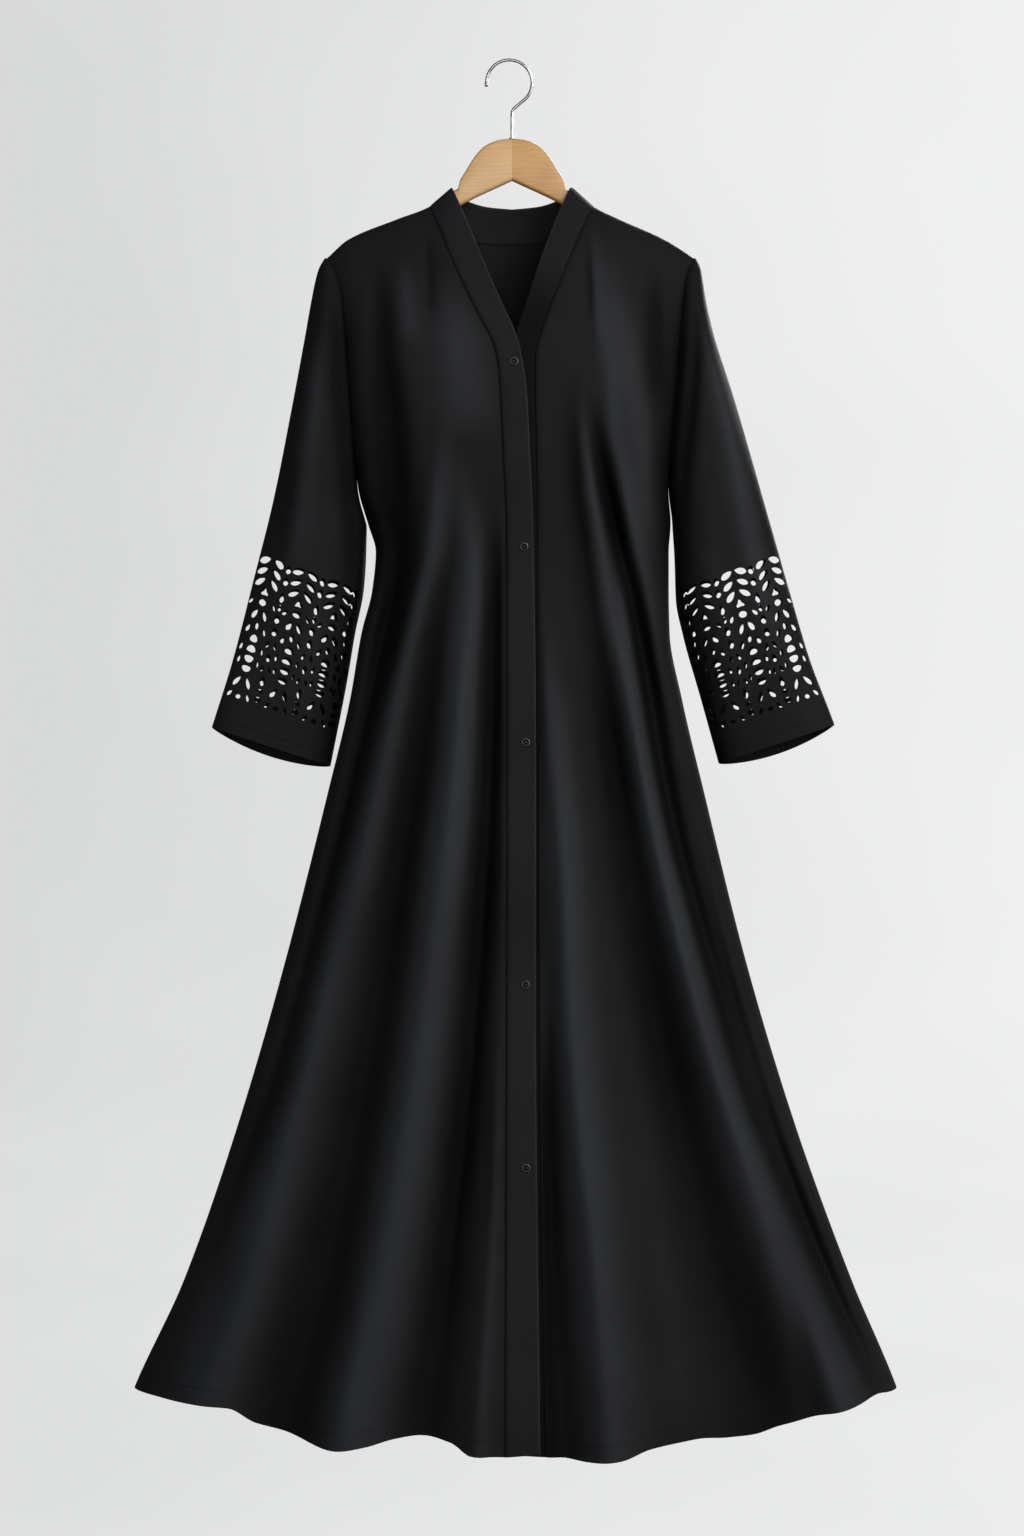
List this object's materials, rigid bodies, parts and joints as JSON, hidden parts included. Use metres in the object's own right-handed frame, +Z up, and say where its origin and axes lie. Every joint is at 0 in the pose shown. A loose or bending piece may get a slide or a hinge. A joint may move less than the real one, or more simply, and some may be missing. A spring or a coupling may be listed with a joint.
{
  "type": "abaya cloak on a wooden hanger",
  "caption": "Long open-front abaya in black crepe with a V neckband, snapped placket and leaf cutwork above the cuffs, hanging on a shaped wooden hanger with a wire hook.",
  "frame": {"origin": "top inside of the hook's loop, where the hanger rests", "axes": "+Z up, the front faces -Y, +X to the wearer's left"},
  "size_m": [0.8535, 0.28, 1.5445],
  "materials": {
    "crepe": "matt black crepe with a faint satin sheen",
    "snap": "dark nickel ring snaps, satin",
    "beech": "clear satin lacquer on light beech",
    "wire": "polished"
  },
  "bodies": {
    "root": {"back": "crepe", "front_right": "crepe", "front_left": "crepe", "band_right": "crepe", "band_left": "crepe", "sleeve_right_front": "crepe", "sleeve_right_back": "crepe", "sleeve_left_front": "crepe", "sleeve_left_back": "crepe", "button_1": "snap", "button_2": "snap", "button_3": "snap", "button_4": "snap", "button_5": "snap", "hanger_arm_right": "beech", "hanger_arm_left": "beech", "hook": "wire"}
  },
  "joints": []
}
